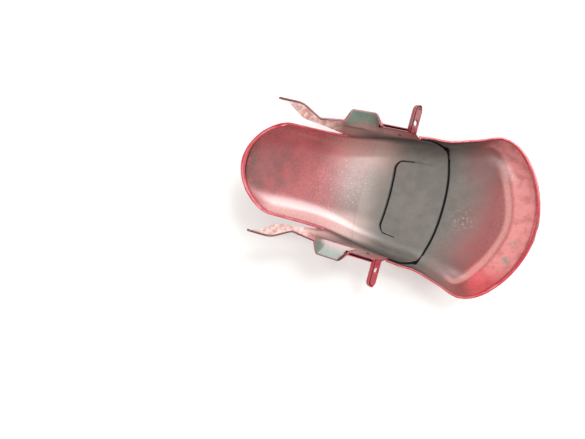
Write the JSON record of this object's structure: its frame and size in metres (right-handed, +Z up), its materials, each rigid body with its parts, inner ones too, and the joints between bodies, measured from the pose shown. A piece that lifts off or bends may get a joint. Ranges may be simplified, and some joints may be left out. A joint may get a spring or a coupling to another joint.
{
  "type": "motorcycle front fender",
  "caption": "one-piece moulded motorcycle front fender with a flared end, fork bracket wings, bulges for the fork legs and bored mounting tabs",
  "frame": {"origin": "on the ground under the middle of the fender's length, which lies on its back with the wheel side up", "axes": "+X along the fender to its flared end, +Y across the wheel, +Z up out of the wheel side"},
  "size_m": [0.4004, 0.244, 0.1259],
  "materials": {
    "fender_plastic": "gloss red paint on grey-brown moulded plastic, bare inside in the middle"
  },
  "bodies": {
    "root": {"fender": "fender_plastic"}
  },
  "joints": []
}
